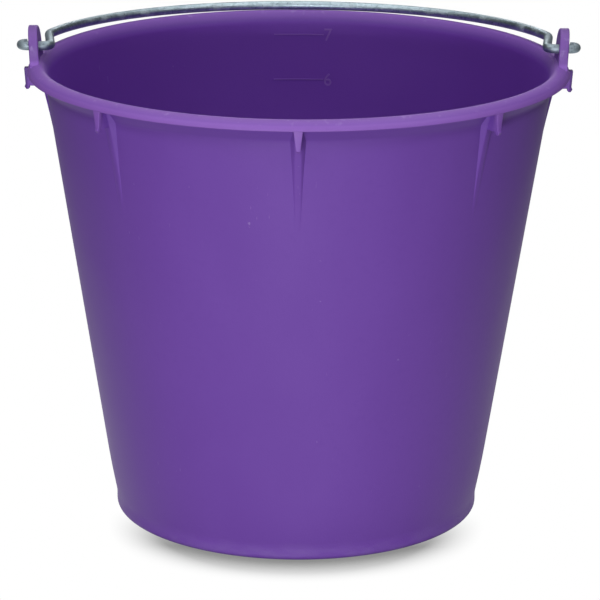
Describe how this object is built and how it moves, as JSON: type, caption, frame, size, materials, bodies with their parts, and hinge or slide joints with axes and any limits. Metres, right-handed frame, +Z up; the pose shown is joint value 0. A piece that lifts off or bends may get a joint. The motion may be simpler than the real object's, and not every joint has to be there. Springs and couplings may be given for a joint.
{
  "type": "bucket with wire bail",
  "caption": "Tapered moulded plastic bucket with a rolled rim, hooked lugs on ribs below it, pierced round ears, a foot ring and a swinging wire bail, for carrying and measuring liquid or feed.",
  "frame": {"origin": "on the ground, at the middle of the foot ring, on the body's axis", "axes": "+Z up along the body's axis, +X through the ears along the bail's pivot line, -Y towards the viewer of the picture; at rest the bail lies back over the +Y rim"},
  "size_m": [0.2726, 0.262, 0.2402],
  "materials": {
    "purple_plastic": "satin moulded",
    "galvanised_wire": "dull galvanised"
  },
  "bodies": {
    "bucket": {"bucket_body": "purple_plastic"},
    "bail": {"wire_bail": "galvanised_wire"}
  },
  "joints": [
    {"name": "bail_swing", "type": "hinge", "parent": "bucket", "child": "bail", "pos_m": [0, 0, 0.2302], "axis": [1, 0, 0], "range_deg": [0, 183.87]}
  ]
}
